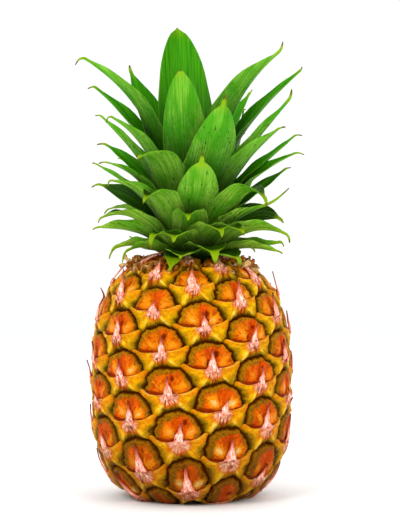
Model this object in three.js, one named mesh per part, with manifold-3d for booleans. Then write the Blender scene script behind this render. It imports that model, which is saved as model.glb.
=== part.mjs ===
// A pineapple standing on its trimmed base: the fruit, made of fused fruitlets (eyes) on a
// spiral lattice, the stub of its cut stalk, a collar of withered bracts, and a leafy crown.
// Millimetres, +Z up, the front towards -Y, the origin in the middle of the base.
import * as THREE from "three";
import Module from "manifold-3d";

const wasm = await Module();
wasm.setup();

// The fruit's outline, in two superellipse halves that meet at the belly.
const BELLY_RADIUS = 59.3;
const BELLY_Z = 70;
const TOP_HEIGHT = 77;
const TOP_POWER = 2.8;
const BOTTOM_HEIGHT = 73;
const BOTTOM_POWER = 3;
const FRUIT_TOP_Z = 140;

// The spiral of the eyes: one eye after another turns by DIVERGENCE and climbs by CLIMB.
const START_AZIMUTH = -11.5;
const START_LENGTH = -3.4;
const DIVERGENCE = 138.05;
const CLIMB = 1.85;
const BASE_CLIMB_GROWTH = 0.017;
const FIRST_EYE = -40;
const LAST_EYE = 47;

// An eye's relief over the outline: its groove, its sepal dome and its overlapping bract.
// A corner of its border is a weighted middle of the eye and its neighbours 8 or 5, and 13, up.
const CORNER_WEIGHTS = { 8: [0.27, 0.32, 0.41], 5: [0.26, 0.39, 0.35] };
const BORDER_BULGES = { right: 1.05, top: 1.17, left: 0.94 };
const RING_SCALES = [0.84, 0.45];
const GROOVE_HEIGHT = -1.3;
const SEPAL_HEIGHTS = [0.7, 1.2];
const SEPAL_CENTRE_HEIGHT = 0.6;
const BRACT_HEIGHTS = [0.1, 1.2];
const WING_HEIGHTS = [1.1, 1.8];
const LIP_HEIGHT = 2.1;
const SEPAL_SETBACK = 0.7;

// The dry tip of each bract, fused to its lip.
const TIP_LENGTH = 12;
const TIP_WIDTH = 5.4;
const TIP_THICKNESS = 1.1;
const TIP_LIFT = 3.6;
const TIP_SINK = 1.6;
const TIP_SWAY = 3;
const TIP_POINT_WIDTH = 0.9;
const TIP_ROOT_SHARE = 0.18;
const TIPPED_EYES_Z = [4, 134];

// The stalk, cut flush with the base, and the clearance between touching pieces.
const STALK_RADIUS = 13.5;
const STALK_HEIGHT = 7;
const STALK_SIDES = 24;
const GAP = 0.3;

// The crown's stem, from its foot on the fruit to its growing tip.
const STEM_FOOT_Z = FRUIT_TOP_Z + GAP;
const STEM_PROFILE = [[19, 0], [17.5, 10], [13, 22], [8, 32], [3, 38]];
const STEM_SIDES = 12;

// The leaves: levels run from the lowest leaf tips up to the tallest one.
const LOWEST_TIP_Z = 145;
const TALLEST_TIP_Z = 289;
const ROOT_RADII = [13, 4];
const ROOT_HEIGHT = 4;
const ROOT_RISE = 25;
const ROOT_ELEVATIONS = [32, 80];
const LEAF_STATIONS = [0, 0.28, 0.54, 0.8, 1];
const SMALL_LEAF_STATIONS = [0, 0.4, 0.75, 1];
const SMALL_LEAF_WIDTH = 19;
const LEAF_THICKNESS = [1.9, 0.8];
const LEAF_ROOT_WIDTH = 0.55;
const FULL_WIDTH_SPAN = [0.35, 0.4];
const LEAF_POINT_WIDTH = 1.2;
const RIB_DEPTH = 1.3;
const MIDRIB_REACH = 0.4;
const CHANNEL_DEPTH = 0.2;
const FLAT_LEAF_CHANNEL = 0.12;
const CHANNELLED_LEVEL = 0.2;

// Leaves seen from the front and the sides, as grown:
// [azimuth, tip radius, tip height, width, tip elevation, fullness, twist], in degrees and
// millimetres; a leaf without a twist grows straight.
const GROWN_LEAVES = [
  [-85, 65, 267, 20, 30, 1.8, 30], [-125, 47, 263, 29, 68, 3, -10], [-98, 60, 251, 18, 38, 1.8, -35],
  [-85, 55, 232, 15, 42, 1.8, 25], [-62, 54, 230, 19, 25, 2], [-105, 55, 216, 14, 30, 1.8, -60],
  [-80, 58, 202.5, 13, 28, 1.8], [-65, 56, 203, 13, 10, 1.8], [-108, 60, 191.5, 17, 15, 1.8, -85],
  [-60, 55, 192, 22, 5, 1.9], [-100, 52, 176, 12, -20, 1.8], [-68, 58, 170, 20, -25, 2],
  [-80, 57, 164.5, 19, -5, 2, 30], [-85, 46, 152.5, 15, -20, 2, 30], [-62, 44, 150, 17, -30, 2.2, 20],
  [-115, 41, 158.5, 10, 60, 1.8], [203, 23, 288.5, 37, 85, 4], [-9, 40, 254.5, 28, 80, 4.5],
  [20.5, 54, 234, 31, 72, 3.3], [7, 51, 201, 26, 60, 3.2], [-32, 56, 205, 27, -20, 2.6],
  [48, 58, 181, 25, -50, 2.2], [-31, 52, 180.5, 24, -35, 2.4], [-2, 47, 170, 22, -30, 2.2],
  [36, 50, 162, 23, -20, 2.2], [-30, 44, 159, 20, -20, 2], [22, 46, 162, 23, -25, 3.2],
  [17, 46, 149, 24, -25, 3.4], [-7, 48, 147, 24, -8, 3], [34, 48, 146, 24, -8, 3],
  [-15, 47, 139.5, 18, -40, 1.6], [66, 57, 268.5, 33, 35, 2.6], [86, 66, 259.5, 19, 40, 1.8, 38],
  [78, 60, 241, 15, 48, 1.8, -20], [56, 62, 222, 24, 32, 2], [92, 63, 220.5, 14, 40, 1.7, 30],
  [86, 63, 209.5, 15, 22, 1.7, 40], [100, 58.5, 200.5, 12, 38, 1.8, 50],
  [62, 50.5, 177.5, 22, 15, 1.7], [96, 55, 169.5, 18, -35, 2, 85], [66, 62, 160, 21, -25, 2, -25],
  [88, 54, 155.5, 16, 10, 1.9, -30], [80, 53.5, 150, 16, -15, 1.9, -25], [105, 41, 204, 10, 80, 1.8],
  [110, 34, 237, 16, 85, 2], [-13, 44, 158, 22, -25, 3.4],
];

// Leaves at the back, spread over these azimuths from the lowest level to the highest.
const BACK_LEAVES = 15;
const BACK_AZIMUTHS = [132, 228];
const BACK_RADIUS = 50;
const BACK_RADIUS_BULGE = 14;
const BACK_HEIGHTS = [147, 259];
const BACK_WIDTHS = [17, 25];
const BACK_ELEVATIONS = [-30, 60];
const BACK_SCATTER = 3;

// The youngest leaves, upright in the heart of the crown: the first one's sizes and the steps
// to the next.
const HEART_LEAVES = 4;
const HEART_AZIMUTH = 60;
const HEART_TURN = 137.5;
const HEART_RADIUS = 13;
const HEART_RADIUS_STEP = 5;
const HEART_HEIGHT = 232;
const HEART_HEIGHT_STEP = -8;
const HEART_WIDTH = 15;
const HEART_WIDTH_STEP = 2;
const HEART_ELEVATION = 80;

// The withered bracts between fruit and crown.
const COLLAR_RADII = [20, 37];
const COLLAR_THICKNESS = 1.6;
const COLLAR_SIDES = 26;
const COLLAR_BRACTS = 20;
const COLLAR_BRACT = { rootRadius: 33, rootElevation: 10, fullness: 2, channel: CHANNEL_DEPTH };
const COLLAR_TIP_RADIUS = 42.5;
const COLLAR_TIP_HEIGHT = 3;
const COLLAR_BRACT_WIDTH = 9;
const COLLAR_SCATTER = { azimuth: 5, radius: 2, height: 1.5, elevation: 40, width: 2, twist: 25 };

const GOLDEN = (Math.sqrt(5) - 1) / 2;
const MATERIALS = {
  fruit: new THREE.MeshStandardMaterial({ color: 0xd98a12, roughness: 0.5, metalness: 0 }),
  crown: new THREE.MeshStandardMaterial({ color: 0x4f9a2a, roughness: 0.5, metalness: 0 }),
  collar: new THREE.MeshStandardMaterial({ color: 0x9a4a20, roughness: 0.8, metalness: 0 }),
  stalk: new THREE.MeshStandardMaterial({ color: 0xb9a56a, roughness: 0.8, metalness: 0 }),
};

// A repeatable draw between -1 and 1.
function draw(index) {
  const wave = Math.sin(index * 12.9898 + 78.233) * 43758.5453;
  return (wave - Math.floor(wave)) * 2 - 1;
}

function radians(degrees) {
  return degrees * Math.PI / 180;
}

function between([first, last], share) {
  return first + (last - first) * share;
}

function toSolid(vertices, triangles) {
  const mesh = new wasm.Mesh({
    numProp: 3,
    vertProperties: new Float32Array(vertices.flat()),
    triVerts: new Uint32Array(triangles.flat()),
  });
  return new wasm.Manifold(mesh);
}

function toMesh(solid, name, material) {
  const result = solid.getMesh();
  const geometry = new THREE.BufferGeometry();
  geometry.setAttribute("position", new THREE.BufferAttribute(result.vertProperties, 3));
  geometry.setIndex(new THREE.BufferAttribute(result.triVerts, 1));
  const mesh = new THREE.Mesh(geometry, material);
  mesh.name = name;
  return mesh;
}

// A round solid about Z from a list of [radius, height], closed on the axis at both ends.
function turned(profile, baseZ, sides) {
  const vertices = [];
  const triangles = [];
  for (const [radius, height] of profile) {
    for (let side = 0; side < sides; side += 1) {
      const angle = side * 2 * Math.PI / sides;
      vertices.push([radius * Math.cos(angle), radius * Math.sin(angle), baseZ + height]);
    }
  }
  const top = profile.length - 1;
  const foot = vertices.push([0, 0, baseZ + profile[0][1]]) - 1;
  const head = vertices.push([0, 0, baseZ + profile[top][1]]) - 1;
  for (let side = 0; side < sides; side += 1) {
    const next = (side + 1) % sides;
    triangles.push([foot, next, side], [head, top * sides + side, top * sides + next]);
    for (let ring = 0; ring < top; ring += 1) {
      const low = ring * sides;
      const high = low + sides;
      triangles.push([low + side, low + next, high + next], [low + side, high + next, high + side]);
    }
  }
  return toSolid(vertices, triangles);
}

// ---- the fruit ----

// The outline as points along its length, run on past both cuts and eased to upright there.
function outlineEnd(direction, height, power, cutZ) {
  const points = [];
  const steps = 400;
  let length = 0;
  let radius = BELLY_RADIUS;
  let z = BELLY_Z;
  for (let step = 1; step <= steps; step += 1) {
    const angle = step / steps * Math.PI / 2;
    const nextRadius = BELLY_RADIUS * Math.cos(angle) ** (2 / power);
    const nextZ = BELLY_Z + direction * height * Math.sin(angle) ** (2 / power);
    if (direction * (nextZ - cutZ) > 0) break;
    length += Math.hypot(nextRadius - radius, nextZ - z);
    radius = nextRadius;
    z = nextZ;
    points.push({ length: direction * length, radius, z });
  }
  return easeUpright(points, direction);
}

function easeUpright(points, direction) {
  const last = points[points.length - 1];
  const before = points[points.length - 2];
  let across = last.radius - before.radius;
  let up = last.z - before.z;
  const stride = 1;
  const runOn = 70;
  const hold = 0.9;
  for (let step = 1; step <= runOn; step += 1) {
    const size = Math.hypot(across, up);
    across = across / size * hold;
    up = up / size * hold + direction * (1 - hold);
    const previous = points[points.length - 1];
    points.push({
      length: previous.length + direction * stride,
      radius: previous.radius + across * stride,
      z: previous.z + up * stride,
    });
  }
  return points;
}

const OUTLINE = [
  ...outlineEnd(-1, BOTTOM_HEIGHT, BOTTOM_POWER, 0).reverse(),
  { length: 0, radius: BELLY_RADIUS, z: BELLY_Z },
  ...outlineEnd(1, TOP_HEIGHT, TOP_POWER, FRUIT_TOP_Z),
];

function outlineAt(length) {
  let high = 1;
  while (high < OUTLINE.length - 1 && OUTLINE[high].length < length) high += 1;
  const a = OUTLINE[high - 1];
  const b = OUTLINE[high];
  const part = (length - a.length) / (b.length - a.length);
  const size = Math.hypot(b.radius - a.radius, b.z - a.z);
  return {
    radius: a.radius + (b.radius - a.radius) * part,
    z: a.z + (b.z - a.z) * part,
    outward: (b.z - a.z) / size,
    upward: (a.radius - b.radius) / size,
  };
}

// A point over the fruit: azimuth in degrees, length along the outline, height above it.
function onFruit(azimuth, length, height) {
  const at = outlineAt(length);
  const radius = at.radius + at.outward * height;
  const angle = radians(azimuth);
  return [radius * Math.sin(angle), -radius * Math.cos(angle), at.z + at.upward * height];
}

function eyeLength(index) {
  const growth = index < 0 ? BASE_CLIMB_GROWTH * index * index : 0;
  return START_LENGTH + CLIMB * index - growth;
}

function eyeAzimuth(index) {
  return START_AZIMUTH + DIVERGENCE * index;
}

function wrap(degrees) {
  return degrees - 360 * Math.round(degrees / 360);
}

// The corner where eye `index` meets its neighbours `side` and 13 places up the spiral.
function corner(index, side) {
  const weights = CORNER_WEIGHTS[side];
  const steps = [0, side, 13];
  const azimuths = steps.map((step) => wrap(DIVERGENCE * step));
  const lengths = steps.map((step) => eyeLength(index + step));
  return {
    azimuth: eyeAzimuth(index) + azimuths.reduce((sum, a, k) => sum + a * weights[k], 0),
    length: lengths.reduce((sum, l, k) => sum + l * weights[k], 0),
  };
}

// The middle of the border between two corners, pushed away from eye `index`.
function borderMiddle(index, from, to, bulge) {
  const azimuth = eyeAzimuth(index);
  const length = eyeLength(index);
  const across = (wrap(from.azimuth - azimuth) + wrap(to.azimuth - azimuth)) / 2;
  const along = (from.length + to.length) / 2 - length;
  return { azimuth: azimuth + across * bulge, length: length + along * bulge };
}

// The twelve border points of an eye, from its right wing over the top, with shared names.
function eyeBorder(index) {
  const upRight = (i) => corner(i, 8);
  const upLeft = (i) => corner(i, 5);
  const top = (i) => borderMiddle(i, upLeft(i), upRight(i), BORDER_BULGES.top);
  const right = (i) => borderMiddle(i, upRight(i), upLeft(i - 5), BORDER_BULGES.right);
  const left = (i) => borderMiddle(i, upLeft(i), upRight(i - 8), BORDER_BULGES.left);
  return [
    [`l${index - 5}`, upLeft(index - 5)], [`right${index}`, right(index)],
    [`r${index}`, upRight(index)], [`top${index}`, top(index)],
    [`l${index}`, upLeft(index)], [`left${index}`, left(index)],
    [`r${index - 8}`, upRight(index - 8)], [`right${index - 8}`, right(index - 8)],
    [`l${index - 13}`, upLeft(index - 13)], [`top${index - 13}`, top(index - 13)],
    [`r${index - 13}`, upRight(index - 13)], [`left${index - 5}`, left(index - 5)],
  ];
}

// Half an eye, a fan of rings: the sepal dome over the equator, or the bract under it.
function halfEye(index, border, first, heights, wingHeights, centreHeight, setback, add) {
  const rings = RING_SCALES.map((scale, ring) => {
    const points = [];
    for (let k = 0; k <= 6; k += 1) {
      const [, at] = border[(first + k) % 12];
      const isWing = k === 0 || k === 6;
      const height = isWing ? wingHeights[ring] : heights[ring];
      const across = wrap(at.azimuth - eyeAzimuth(index)) * scale;
      const along = (at.length - eyeLength(index)) * scale + (isWing ? setback : 0);
      points.push(add(eyeAzimuth(index) + across, eyeLength(index) + along, height));
    }
    return points;
  });
  const centre = add(eyeAzimuth(index), eyeLength(index) + setback, centreHeight);
  return { rings, centre };
}

function eyeTriangles(outer, upper, lower) {
  const triangles = [];
  const quad = (a, b, c, d) => triangles.push([a, b, c], [a, c, d]);
  for (const [half, first] of [[upper, 0], [lower, 6]]) {
    const [rim, middle] = half.rings;
    for (let k = 0; k < 6; k += 1) {
      quad(outer[first + k], outer[(first + k + 1) % 12], rim[k + 1], rim[k]);
      quad(rim[k], rim[k + 1], middle[k + 1], middle[k]);
      triangles.push([middle[k], middle[k + 1], half.centre]);
    }
  }
  const [upperRim, upperMiddle] = upper.rings;
  const [lowerRim, lowerMiddle] = lower.rings;
  triangles.push([outer[0], upperRim[0], lowerRim[6]], [upperRim[6], outer[6], lowerRim[0]]);
  quad(upperRim[0], upperMiddle[0], lowerMiddle[6], lowerRim[6]);
  quad(upperMiddle[0], upper.centre, lower.centre, lowerMiddle[6]);
  quad(upper.centre, upperMiddle[6], lowerMiddle[0], lower.centre);
  quad(upperMiddle[6], upperRim[6], lowerRim[0], lowerMiddle[0]);
  return triangles;
}

// Fans from the open ends of the lattice to a point on the axis close the skin.
function closeEnds(vertices, triangles) {
  const edges = new Map();
  for (const [a, b, c] of triangles) {
    for (const [from, to] of [[a, b], [b, c], [c, a]]) edges.set(`${from} ${to}`, [from, to]);
  }
  const beyond = 60;
  const low = vertices.push([0, 0, -beyond]) - 1;
  const high = vertices.push([0, 0, FRUIT_TOP_Z + beyond]) - 1;
  for (const [from, to] of edges.values()) {
    if (edges.has(`${to} ${from}`)) continue;
    triangles.push([to, from, vertices[from][2] < BELLY_Z ? low : high]);
  }
}

function fruitSkin() {
  const vertices = [];
  const triangles = [];
  const shared = new Map();
  const add = (azimuth, length, height) => vertices.push(onFruit(azimuth, length, height)) - 1;
  const addShared = ([name, at]) => {
    if (!shared.has(name)) shared.set(name, add(at.azimuth, at.length, GROOVE_HEIGHT));
    return shared.get(name);
  };
  for (let index = FIRST_EYE; index <= LAST_EYE; index += 1) {
    const border = eyeBorder(index);
    const outer = border.map(addShared);
    const upper = halfEye(index, border, 0, SEPAL_HEIGHTS, SEPAL_HEIGHTS, SEPAL_CENTRE_HEIGHT,
      SEPAL_SETBACK, add);
    const lower = halfEye(index, border, 6, BRACT_HEIGHTS, WING_HEIGHTS, LIP_HEIGHT, 0, add);
    triangles.push(...eyeTriangles(outer, upper, lower));
  }
  closeEnds(vertices, triangles);
  return toSolid(vertices, triangles);
}

// The dry tip of an eye's bract, three-sided, rooted in the lip and leaning off the dome.
function bractTip(index) {
  const azimuth = eyeAzimuth(index);
  const length = eyeLength(index);
  const perDegree = radians(outlineAt(length).radius);
  const sway = draw(index) * TIP_SWAY;
  const vertices = [];
  for (const along of [-TIP_ROOT_SHARE, 1]) {
    const half = (TIP_WIDTH * (1 - along) / (1 + TIP_ROOT_SHARE) + TIP_POINT_WIDTH) / 2;
    const height = LIP_HEIGHT - TIP_SINK + TIP_LIFT * (along + TIP_ROOT_SHARE) ** 0.8;
    const middle = azimuth + sway * along * along / perDegree;
    const at = length + TIP_LENGTH * along;
    vertices.push(onFruit(middle - half / perDegree, at, height));
    vertices.push(onFruit(middle + half / perDegree, at, height));
    vertices.push(onFruit(middle, at, height + TIP_THICKNESS));
  }
  const triangles = [[0, 1, 2], [3, 5, 4]];
  for (let side = 0; side < 3; side += 1) {
    const next = (side + 1) % 3;
    triangles.push([next, side, 3 + side], [next, 3 + side, 3 + next]);
  }
  return toSolid(vertices, triangles);
}

function fruitSolid() {
  const tips = [];
  for (let index = FIRST_EYE; index <= LAST_EYE; index += 1) {
    const z = outlineAt(eyeLength(index)).z;
    if (z > TIPPED_EYES_Z[0] && z < TIPPED_EYES_Z[1]) tips.push(bractTip(index));
  }
  const wide = 1.5 * BELLY_RADIUS;
  const hole = STALK_RADIUS + GAP;
  const span = turned([[wide, 0], [wide, FRUIT_TOP_Z]], 0, 12);
  const socket = turned([[hole, -1], [hole, STALK_HEIGHT + GAP]], 0, STALK_SIDES);
  return wasm.Manifold.union([fruitSkin(), ...tips]).intersect(span).subtract(socket);
}

// ---- the crown ----

// A leaf's missing sizes follow from how high its tip stands.
function grownLeaf([azimuth, tipRadius, tipZ, width, tipElevation, fullness, twist = 0]) {
  const level = Math.max(0, (tipZ - LOWEST_TIP_Z) / (TALLEST_TIP_Z - LOWEST_TIP_Z));
  return {
    azimuth, tipRadius, tipZ, width, tipElevation, fullness, twist,
    rootRadius: between(ROOT_RADII, level),
    rootZ: FRUIT_TOP_Z + ROOT_HEIGHT + ROOT_RISE * level ** 0.9,
    rootElevation: between(ROOT_ELEVATIONS, level ** 0.6),
    channel: between([FLAT_LEAF_CHANNEL, CHANNEL_DEPTH], Math.min(level / CHANNELLED_LEVEL, 1)),
  };
}

function allLeaves() {
  const leaves = GROWN_LEAVES.map(grownLeaf);
  for (let k = 0; k < BACK_LEAVES; k += 1) {
    const level = (k + 0.5) / BACK_LEAVES;
    const azimuth = between(BACK_AZIMUTHS, (k * GOLDEN) % 1);
    const bulge = BACK_RADIUS_BULGE * Math.sin(Math.PI * level);
    const radius = BACK_RADIUS + bulge + BACK_SCATTER * draw(k + 300);
    const height = between(BACK_HEIGHTS, level) + BACK_SCATTER * draw(k + 400);
    const elevation = between(BACK_ELEVATIONS, level);
    leaves.push(grownLeaf([azimuth, radius, height, between(BACK_WIDTHS, level), elevation, 2]));
  }
  for (let k = 0; k < HEART_LEAVES; k += 1) {
    const azimuth = HEART_AZIMUTH + HEART_TURN * k;
    const radius = HEART_RADIUS + HEART_RADIUS_STEP * k;
    const height = HEART_HEIGHT + HEART_HEIGHT_STEP * k;
    const width = HEART_WIDTH + HEART_WIDTH_STEP * k;
    leaves.push(grownLeaf([azimuth, radius, height, width, HEART_ELEVATION, 2]));
  }
  return leaves;
}

// The midrib, a cubic curve in the leaf's own upright plane.
function midrib(leaf, t) {
  const from = [leaf.rootRadius, leaf.rootZ];
  const to = [leaf.tipRadius, leaf.tipZ];
  const reach = Math.hypot(to[0] - from[0], to[1] - from[1]) * MIDRIB_REACH;
  const start = radians(leaf.rootElevation);
  const end = radians(leaf.tipElevation);
  const one = [from[0] + reach * Math.cos(start), from[1] + reach * Math.sin(start)];
  const two = [to[0] - reach * Math.cos(end), to[1] - reach * Math.sin(end)];
  const s = 1 - t;
  const at = (k) => s ** 3 * from[k] + 3 * s * s * t * one[k] + 3 * s * t * t * two[k] + t ** 3 * to[k];
  return [at(0), at(1)];
}

function leafWidth(leaf, t) {
  const [widest, narrowing] = FULL_WIDTH_SPAN;
  const rise = between([LEAF_ROOT_WIDTH, 1], Math.sin(Math.min(t / widest, 1) * Math.PI / 2));
  const fall = t < narrowing ? 1 : 1 - ((t - narrowing) / (1 - narrowing)) ** leaf.fullness;
  return Math.max(leaf.width * rise * fall, LEAF_POINT_WIDTH);
}

// A blade of V section, closed at both ends, grown `swell` millimetres on every side.
function leafSolid(leaf, swell) {
  const stations = leaf.width < SMALL_LEAF_WIDTH ? SMALL_LEAF_STATIONS : LEAF_STATIONS;
  const azimuth = radians(leaf.azimuth);
  const out = [Math.sin(azimuth), -Math.cos(azimuth), 0];
  const vertices = [];
  const count = stations.length;
  for (const t of stations) {
    const [radius, z] = midrib(leaf, t);
    const before = midrib(leaf, Math.max(t - 0.02, 0));
    const after = midrib(leaf, Math.min(t + 0.02, 1));
    const slope = Math.atan2(after[1] - before[1], after[0] - before[0]);
    const turn = radians(leaf.twist) * t;
    const half = leafWidth(leaf, t) / 2 + swell;
    const thickness = between(LEAF_THICKNESS, t);
    const depth = 2 * half * leaf.channel;
    const edge = depth - thickness - swell;
    const section = [[-half, depth + swell], [-half, edge], [0, -thickness * RIB_DEPTH - swell],
      [half, edge], [half, depth + swell], [0, swell]];
    for (const [across, over] of section) {
      const u = across * Math.cos(turn) - over * Math.sin(turn);
      const v = across * Math.sin(turn) + over * Math.cos(turn);
      vertices.push([
        out[0] * (radius - v * Math.sin(slope)) - out[1] * u,
        out[1] * (radius - v * Math.sin(slope)) + out[0] * u,
        z + v * Math.cos(slope),
      ]);
    }
  }
  return toSolid(vertices, bladeTriangles(count));
}

function bladeTriangles(count) {
  const triangles = [];
  const quad = (a, b, c, d) => triangles.push([a, b, c], [a, c, d]);
  for (let ring = 0; ring < count - 1; ring += 1) {
    for (let side = 0; side < 6; side += 1) {
      const next = (side + 1) % 6;
      quad(ring * 6 + side, ring * 6 + next, ring * 6 + 6 + next, ring * 6 + 6 + side);
    }
  }
  const last = (count - 1) * 6;
  quad(0, 5, 2, 1);
  quad(5, 4, 3, 2);
  quad(last, last + 1, last + 2, last + 5);
  quad(last + 5, last + 2, last + 3, last + 4);
  return triangles;
}

function crownSolid(swell) {
  const stem = turned(STEM_PROFILE.map(([r, z]) => [r + swell, z]), STEM_FOOT_Z, STEM_SIDES);
  return wasm.Manifold.union([stem, ...allLeaves().map((leaf) => leafSolid(leaf, swell))]);
}

// ---- the collar ----

function collarSolid() {
  const [inner, outer] = COLLAR_RADII;
  const ring = turned([[outer, 0], [outer - 2, COLLAR_THICKNESS]], STEM_FOOT_Z, COLLAR_SIDES)
    .subtract(turned([[inner, -1], [inner, COLLAR_THICKNESS + 1]], STEM_FOOT_Z, COLLAR_SIDES));
  const bracts = [];
  for (let k = 0; k < COLLAR_BRACTS; k += 1) {
    const rise = draw(k + 500);
    bracts.push(leafSolid({
      ...COLLAR_BRACT,
      azimuth: 360 * k / COLLAR_BRACTS + COLLAR_SCATTER.azimuth * draw(k + 520),
      rootZ: STEM_FOOT_Z + COLLAR_THICKNESS + 1,
      tipRadius: COLLAR_TIP_RADIUS + COLLAR_SCATTER.radius * draw(k + 540),
      tipZ: FRUIT_TOP_Z + COLLAR_TIP_HEIGHT + COLLAR_SCATTER.height * rise,
      tipElevation: COLLAR_SCATTER.elevation * rise,
      width: COLLAR_BRACT_WIDTH + COLLAR_SCATTER.width * draw(k + 560),
      twist: COLLAR_SCATTER.twist * draw(k + 580),
    }, 0));
  }
  return wasm.Manifold.union([ring, ...bracts]);
}

// The main body of a solid, without the scraps that a cut leaves.
function mainBody(solid) {
  const bodies = solid.decompose();
  return bodies.reduce((best, body) => (body.volume() > best.volume() ? body : best));
}

const pineapple = new THREE.Group();
const crown = mainBody(crownSolid(0));
const crownRoom = crownSolid(GAP);
const stalk = turned([[STALK_RADIUS, 0], [STALK_RADIUS, STALK_HEIGHT]], 0, STALK_SIDES);
const fruit = fruitSolid();
const collar = mainBody(collarSolid().subtract(crownRoom));
pineapple.add(toMesh(fruit, "fruit", MATERIALS.fruit));
pineapple.add(toMesh(stalk, "cut_stalk", MATERIALS.stalk));
pineapple.add(toMesh(collar, "collar_bracts", MATERIALS.collar));
pineapple.add(toMesh(crown, "crown", MATERIALS.crown));

export default pineapple;
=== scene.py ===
"""The looks of the pineapple: its eyes with their sepal domes, bracts and papery tips, its leafy
crown, the withered collar and the cut stalk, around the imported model."""

import math

import bpy
import numpy as np
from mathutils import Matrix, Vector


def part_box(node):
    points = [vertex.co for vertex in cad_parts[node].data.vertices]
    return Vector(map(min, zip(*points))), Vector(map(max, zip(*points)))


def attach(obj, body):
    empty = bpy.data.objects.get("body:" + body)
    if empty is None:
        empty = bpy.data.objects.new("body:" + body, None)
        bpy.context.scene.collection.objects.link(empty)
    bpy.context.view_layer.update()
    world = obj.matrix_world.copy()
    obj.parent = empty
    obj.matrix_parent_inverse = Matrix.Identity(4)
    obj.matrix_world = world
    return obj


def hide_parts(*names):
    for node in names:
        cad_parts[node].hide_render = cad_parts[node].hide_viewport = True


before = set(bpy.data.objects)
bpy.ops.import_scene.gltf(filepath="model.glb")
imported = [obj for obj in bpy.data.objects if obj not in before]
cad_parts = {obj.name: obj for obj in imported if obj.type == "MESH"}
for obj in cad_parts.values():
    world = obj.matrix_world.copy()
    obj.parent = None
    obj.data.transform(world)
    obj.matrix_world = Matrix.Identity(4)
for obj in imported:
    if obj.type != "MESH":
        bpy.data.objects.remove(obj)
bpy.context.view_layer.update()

MM = 0.001
FRUIT_TOP_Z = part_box("fruit")[1].z / MM
STALK_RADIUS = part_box("cut_stalk")[1].x / MM

# ---- sizes, in millimetres and degrees, as in the part's source ----

BELLY_RADIUS = 59.3
BELLY_Z = 70
TOP_HEIGHT = 77
TOP_POWER = 2.8
BOTTOM_HEIGHT = 73
BOTTOM_POWER = 3

START_AZIMUTH = -11.5
START_LENGTH = -3.4
DIVERGENCE = 138.05
CLIMB = 1.85
BASE_CLIMB_GROWTH = 0.017
FIRST_EYE = -50
LAST_EYE = 66
UP_RIGHT_WEIGHTS = (0.27, 0.32, 0.41)
UP_LEFT_WEIGHTS = (0.26, 0.39, 0.35)
SMALLEST_EYE_RADIUS = 17

# A leaf's level runs from 0, its tip at the crown's foot, to 1, its tip at the top.
LOWEST_TIP_Z = 145
TALLEST_TIP_Z = 289
ROOT_RADII = (13, 4)
ROOT_HEIGHT = 4
ROOT_RISE = 25
ROOT_ELEVATIONS = (32, 80)
CHANNEL_DEPTH = 0.2
FLAT_LEAF_CHANNEL = 0.12
CHANNELLED_LEVEL = 0.2
# Azimuth, tip radius, tip height, width, tip elevation, fullness and, where it has one, twist.
GROWN_LEAVES = [
    (-85, 65, 267, 20, 30, 1.8, 30), (-125, 47, 263, 29, 68, 3, -10), (-98, 60, 251, 18, 38, 1.8, -35),
    (-85, 55, 232, 15, 42, 1.8, 25), (-62, 54, 230, 19, 25, 2), (-105, 55, 216, 14, 30, 1.8, -60),
    (-80, 58, 202.5, 13, 28, 1.8), (-65, 56, 203, 13, 10, 1.8), (-108, 60, 191.5, 17, 15, 1.8, -85),
    (-60, 55, 192, 22, 5, 1.9), (-100, 52, 176, 12, -20, 1.8), (-68, 58, 170, 20, -25, 2),
    (-80, 57, 164.5, 19, -5, 2, 30), (-85, 46, 152.5, 15, -20, 2, 30), (-62, 44, 150, 17, -30, 2.2, 20),
    (-115, 41, 158.5, 10, 60, 1.8), (203, 23, 288.5, 37, 85, 4), (-9, 40, 254.5, 28, 80, 4.5),
    (20.5, 54, 234, 31, 72, 3.3), (7, 51, 201, 26, 60, 3.2), (-32, 56, 205, 27, -20, 2.6),
    (48, 58, 181, 25, -50, 2.2), (-31, 52, 180.5, 24, -35, 2.4), (-2, 47, 170, 22, -30, 2.2),
    (36, 50, 162, 23, -20, 2.2), (-30, 44, 159, 20, -20, 2), (22, 46, 162, 23, -25, 3.2),
    (17, 46, 149, 24, -25, 3.4), (-7, 48, 147, 24, -8, 3), (34, 48, 146, 24, -8, 3),
    (-15, 47, 139.5, 18, -40, 1.6), (66, 57, 268.5, 33, 35, 2.6), (86, 66, 259.5, 19, 40, 1.8, 38),
    (78, 60, 241, 15, 48, 1.8, -20), (56, 62, 222, 24, 32, 2), (92, 63, 220.5, 14, 40, 1.7, 30),
    (86, 63, 209.5, 15, 22, 1.7, 40), (100, 58.5, 200.5, 12, 38, 1.8, 50),
    (62, 50.5, 177.5, 22, 15, 1.7), (96, 55, 169.5, 18, -35, 2, 85), (66, 62, 160, 21, -25, 2, -25),
    (88, 54, 155.5, 16, 10, 1.9, -30), (80, 53.5, 150, 16, -15, 1.9, -25), (105, 41, 204, 10, 80, 1.8),
    (110, 34, 237, 16, 85, 2), (-13, 44, 158, 22, -25, 3.4),
]
BACK_LEAVES = 15
BACK_AZIMUTHS = (132, 228)
BACK_HEIGHTS = (147, 259)
HEART_LEAVES = 4
HEART_TURN = 137.5
GOLDEN = (math.sqrt(5) - 1) / 2

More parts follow.
